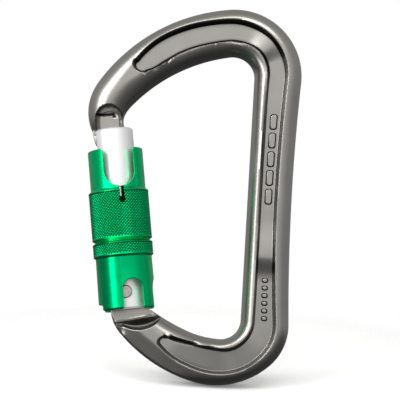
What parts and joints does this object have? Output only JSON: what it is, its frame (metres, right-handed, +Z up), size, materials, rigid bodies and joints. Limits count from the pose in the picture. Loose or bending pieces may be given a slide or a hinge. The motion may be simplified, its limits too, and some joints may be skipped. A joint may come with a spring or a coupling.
{
  "type": "locking carabiner",
  "caption": "Asymmetric D carabiner with an I-section body, keyed gate and a lift-and-twist self-locking knurled barrel.",
  "frame": {"origin": "the bearing point where a rope or sling rests on the inside of the wide basket, in the middle of the body's thickness", "axes": "+Z up along the load axis beside the straight spine, +X from the gate towards the spine, +Y through the body's thickness"},
  "size_m": [0.0632, 0.0178, 0.1125],
  "materials": {
    "forged_alloy": "bright polished grey anodised forged alloy",
    "gate_alloy": "satin silver anodised turned alloy",
    "rivet_steel": "plain turned steel",
    "spring_steel": "bright drawn stainless wire",
    "barrel_alloy": "green anodised turned and knurled alloy",
    "ring_steel": "plain spring steel"
  },
  "bodies": {
    "frame": {"body": "forged_alloy"},
    "gate": {"gate": "gate_alloy", "hinge_rivet": "rivet_steel", "gate_spring": "spring_steel", "guide_pin": "rivet_steel", "stop_ring": "ring_steel", "spring_washer": "ring_steel", "retaining_clip": "ring_steel"},
    "plunger": {"gate_plunger": "rivet_steel"},
    "barrel_slider": {"barrel_spring": "spring_steel"},
    "barrel": {"locking_barrel": "barrel_alloy"}
  },
  "joints": [
    {"name": "gate_swing", "type": "hinge", "parent": "frame", "child": "gate", "pos_m": [-0.02814, 0, -0.07218], "axis": [0, 1, 0], "range_deg": [0, 26], "stiffness_Nm_per_rad": 0.08, "springref_deg": -51.57},
    {"name": "plunger_slide", "type": "slide", "parent": "gate", "child": "plunger", "axis": [-0.1374, 0, 0.9905], "range_m": [0, 0.0012], "deforming": ["gate_spring"]},
    {"name": "barrel_lift", "type": "slide", "parent": "gate", "child": "barrel_slider", "axis": [-0.1374, 0, 0.9905], "range_m": [0, 0.003], "stiffness_N_per_m": 600, "springref_m": -0.003, "deforming": ["barrel_spring"]},
    {"name": "barrel_twist", "type": "hinge", "parent": "barrel_slider", "child": "barrel", "pos_m": [-0.03089, 0, -0.05237], "axis": [0.1374, 0, -0.9905], "range_deg": [0, 107], "stiffness_Nm_per_rad": 0.02, "springref_deg": -51.57}
  ],
  "couplings": [
    {"joint": "plunger_slide", "follows": "gate_swing", "m_per_rad": 0.00264}
  ]
}
